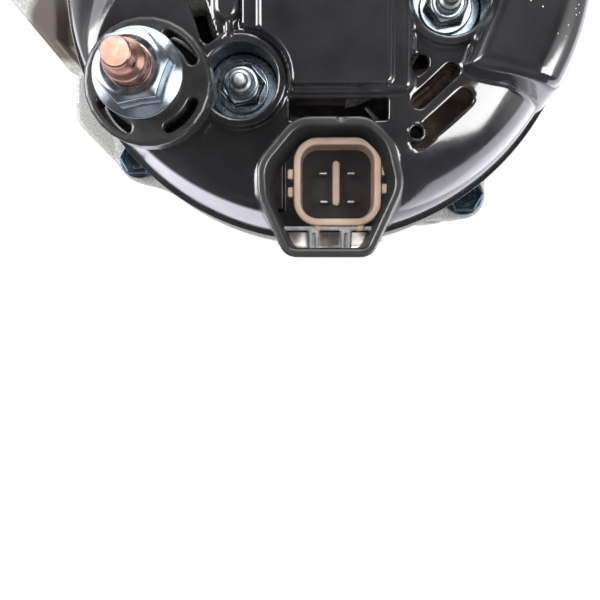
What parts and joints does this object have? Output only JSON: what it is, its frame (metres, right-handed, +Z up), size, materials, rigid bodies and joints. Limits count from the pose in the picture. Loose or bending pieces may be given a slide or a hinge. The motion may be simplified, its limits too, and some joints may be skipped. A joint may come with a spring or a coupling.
{
  "type": "car alternator",
  "caption": "Compact car alternator with a claw-pole rotor on ball bearings, belt pulley, brush gear, rectifier, cast brackets and a black moulded rear cover with socket and stud terminal.",
  "frame": {"origin": "centre of the flat drive end of the shaft, in front of the pulley nut", "axes": "+Y along the shaft, out of the pulley end; +Z up, with the plug socket at the bottom and the B+ stud at the lower left as seen from behind; +X to the right as seen from behind"},
  "size_m": [0.1755, 0.21, 0.1236],
  "materials": {
    "cover_plastic": "moulded, glossy",
    "guard_plastic": "moulded, satin",
    "terminal_copper": "copper, rolled thread",
    "zinc_plate": "blue zinc plate",
    "washer_zinc": "blue zinc plate",
    "bush_steel": "turned",
    "socket_plastic": "moulded, satin",
    "pin_tin": "tin plated",
    "cast_aluminium": "die cast, fine grain",
    "sink_aluminium": "pressed",
    "inner_plastic": "moulded",
    "carbon": "pressed carbon",
    "spring_steel": "drawn",
    "lamination": "stacked, varnished",
    "copper_winding": "enamelled, varnished",
    "rotor_steel": "forged",
    "shaft_steel": "ground",
    "ring_copper": "turned",
    "bearing_steel": "ground",
    "pulley_steel": "black coated, worn grooves"
  },
  "bodies": {
    "housing": {"battery_collar": "bush_steel", "battery_guard": "guard_plastic", "battery_nut": "zinc_plate", "battery_stud": "terminal_copper", "bearing_retainer": "bush_steel", "brush_holder": "inner_plastic", "brush_spring_1": "spring_steel", "brush_spring_2": "spring_steel", "connector_housing": "socket_plastic", "connector_pin_1": "pin_tin", "connector_pin_2": "pin_tin", "connector_pin_3": "pin_tin", "connector_pin_4": "pin_tin", "connector_shroud": "cover_plastic", "cover_nut_1": "zinc_plate", "cover_nut_2": "zinc_plate", "cover_nut_3": "zinc_plate", "cover_stud_1": "zinc_plate", "cover_stud_2": "zinc_plate", "cover_stud_3": "zinc_plate", "cover_washer_1": "washer_zinc", "cover_washer_2": "washer_zinc", "cover_washer_3": "washer_zinc", "front_bearing_outer": "bearing_steel", "front_bracket": "cast_aluminium", "lug_bush": "bush_steel", "rear_bearing_outer": "bearing_steel", "rear_bracket": "cast_aluminium", "rear_cover": "cover_plastic", "rectifier_plate_negative": "sink_aluminium", "rectifier_plate_positive": "sink_aluminium", "rectifier_terminals": "inner_plastic", "regulator": "inner_plastic", "regulator_heatsink": "sink_aluminium", "retainer_screw_1": "zinc_plate", "retainer_screw_2": "zinc_plate", "retainer_screw_3": "zinc_plate", "stator_core": "lamination", "stator_winding": "copper_winding", "through_bolt_1": "zinc_plate", "through_bolt_2": "zinc_plate", "through_bolt_3": "zinc_plate", "through_bolt_4": "zinc_plate"},
    "rotor": {"shaft": "shaft_steel", "claw_pole_front": "rotor_steel", "claw_pole_rear": "rotor_steel", "field_coil": "copper_winding", "fan_front": "rotor_steel", "fan_rear": "rotor_steel", "slip_ring_1": "ring_copper", "slip_ring_2": "ring_copper", "pulley": "pulley_steel", "pulley_nut": "zinc_plate", "pulley_spacer": "bush_steel", "front_bearing_inner": "bearing_steel", "rear_bearing_inner": "bearing_steel"},
    "front_ball_set": {"front_bearing_balls": "bearing_steel"},
    "rear_ball_set": {"rear_bearing_balls": "bearing_steel"},
    "brush_1_body": {"brush_1": "carbon"},
    "brush_2_body": {"brush_2": "carbon"}
  },
  "joints": [
    {"name": "rotor_spin", "type": "hinge", "parent": "housing", "child": "rotor", "pos_m": [0, 0, 0], "axis": [0, 1, 0], "continuous": true},
    {"name": "front_balls_roll", "type": "hinge", "parent": "housing", "child": "front_ball_set", "pos_m": [0, -0.047, 0], "axis": [0, 1, 0], "continuous": true},
    {"name": "rear_balls_roll", "type": "hinge", "parent": "housing", "child": "rear_ball_set", "pos_m": [0, -0.1365, 0], "axis": [0, 1, 0], "continuous": true},
    {"name": "brush_1_slide", "type": "slide", "parent": "housing", "child": "brush_1_body", "axis": [0, 0, 1], "range_m": [-0.005, 0], "stiffness_N_per_m": 300, "springref_m": 0.012, "deforming": ["brush_spring_1"]},
    {"name": "brush_2_slide", "type": "slide", "parent": "housing", "child": "brush_2_body", "axis": [0, 0, 1], "range_m": [-0.005, 0], "stiffness_N_per_m": 300, "springref_m": 0.012, "deforming": ["brush_spring_2"]}
  ],
  "couplings": [
    {"joint": "front_balls_roll", "follows": "rotor_spin", "ratio": 0.4},
    {"joint": "rear_balls_roll", "follows": "rotor_spin", "ratio": 0.427}
  ]
}
